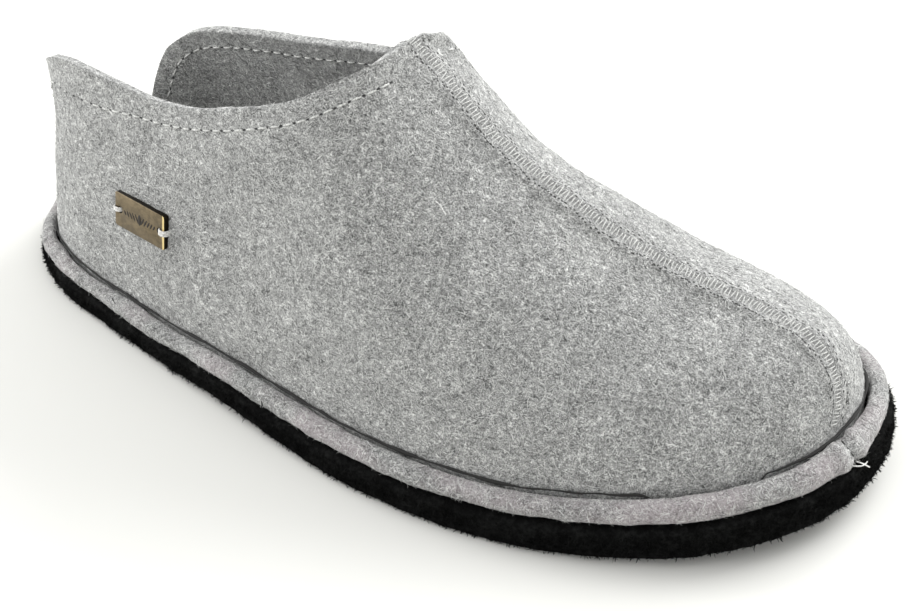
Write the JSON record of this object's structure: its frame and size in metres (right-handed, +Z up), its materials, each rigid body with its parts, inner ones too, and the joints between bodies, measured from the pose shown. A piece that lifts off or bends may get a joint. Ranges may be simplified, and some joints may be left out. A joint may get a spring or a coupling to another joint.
{
  "type": "felt slipper",
  "caption": "Closed-toe felt house slipper for the right foot, with an open dipped back, a felt welt, a dark soft sole and a small metal side plate.",
  "frame": {"origin": "middle of the bounding box, on the floor that the sole stands on", "axes": "+X from the heel to the toe, +Y to the inner side of the foot, +Z up"},
  "size_m": [0.2726, 0.122, 0.1055],
  "materials": {
    "grey_felt": "mottled light grey wool felt",
    "welt_felt": "light grey wool felt, rolled",
    "insole_felt": "grey wool felt, flat",
    "black_nap": "black, matt, with a short nap",
    "aged_brass": "darkened, worn bright at the edges"
  },
  "bodies": {
    "root": {"upper": "grey_felt", "welt": "welt_felt", "outsole": "black_nap", "insole": "insole_felt", "badge_plate": "aged_brass"}
  },
  "joints": []
}
